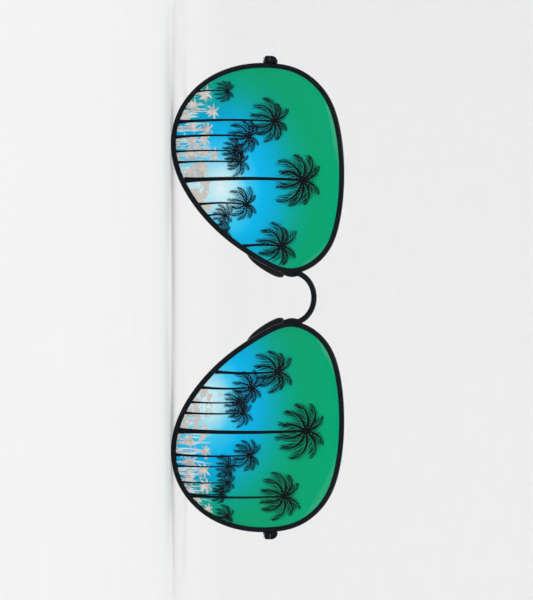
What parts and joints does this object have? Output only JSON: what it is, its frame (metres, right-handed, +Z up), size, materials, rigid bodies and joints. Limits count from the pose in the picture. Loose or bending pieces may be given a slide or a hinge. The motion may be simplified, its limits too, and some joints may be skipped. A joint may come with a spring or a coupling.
{
  "type": "aviator sunglasses",
  "caption": "Teardrop-lens aviator sunglasses with a thin black wire rim, one arched bridge, rocking nose pads and folding temples with curved tips.",
  "frame": {"origin": "Middle of the glasses' width and depth with the temples open, level with the lowest points of the rims and of the temple tips.", "axes": "+Z up. The wearer looks along -Y, so the fronts of the lenses face -Y and the temples run back along +Y. +X is the wearer's left."},
  "size_m": [0.1398, 0.1424, 0.0495],
  "materials": {
    "black_enamel": "semi-gloss near-black enamel on metal wire",
    "printed_lens": "glossy, printed in cyan to green with palm silhouettes",
    "black_acetate": "polished",
    "black_silicone": "satin",
    "steel": "turned screws and stamped pad plates"
  },
  "bodies": {
    "front": {"bridge": "black_enamel", "left_rim": "black_enamel", "left_lens": "printed_lens", "left_end_piece": "black_enamel", "left_rim_lock": "black_enamel", "left_rim_screw": "steel", "left_front_hinge": "black_enamel", "left_hinge_screw": "steel", "left_pad_arm": "black_enamel", "left_pad_box": "black_enamel", "left_pad_screw": "steel", "right_rim": "black_enamel", "right_lens": "printed_lens", "right_end_piece": "black_enamel", "right_rim_lock": "black_enamel", "right_rim_screw": "steel", "right_front_hinge": "black_enamel", "right_hinge_screw": "steel", "right_pad_arm": "black_enamel", "right_pad_box": "black_enamel", "right_pad_screw": "steel"},
    "left_temple_arm": {"left_temple_hinge": "black_enamel", "left_temple": "black_enamel", "left_temple_tip": "black_acetate"},
    "right_temple_arm": {"right_temple_hinge": "black_enamel", "right_temple": "black_enamel", "right_temple_tip": "black_acetate"},
    "left_pad": {"left_nose_pad": "black_silicone", "left_pad_core": "steel"},
    "right_pad": {"right_nose_pad": "black_silicone", "right_pad_core": "steel"}
  },
  "joints": [
    {"name": "left_temple_fold", "type": "hinge", "parent": "front", "child": "left_temple_arm", "pos_m": [0.0664, -0.05721, 0.0283], "axis": [0, 0, 1], "range_deg": [0, 90]},
    {"name": "right_temple_fold", "type": "hinge", "parent": "front", "child": "right_temple_arm", "pos_m": [-0.0664, -0.05721, 0.0283], "axis": [0, 0, -1], "range_deg": [0, 85]},
    {"name": "left_pad_rock", "type": "hinge", "parent": "front", "child": "left_pad", "pos_m": [0.01196, -0.06374, 0.02838], "axis": [0.3375, 0.9063, 0.2543], "range_deg": [-12, 12]},
    {"name": "right_pad_rock", "type": "hinge", "parent": "front", "child": "right_pad", "pos_m": [-0.01196, -0.06374, 0.02838], "axis": [-0.3375, 0.9063, 0.2543], "range_deg": [-12, 12]}
  ]
}
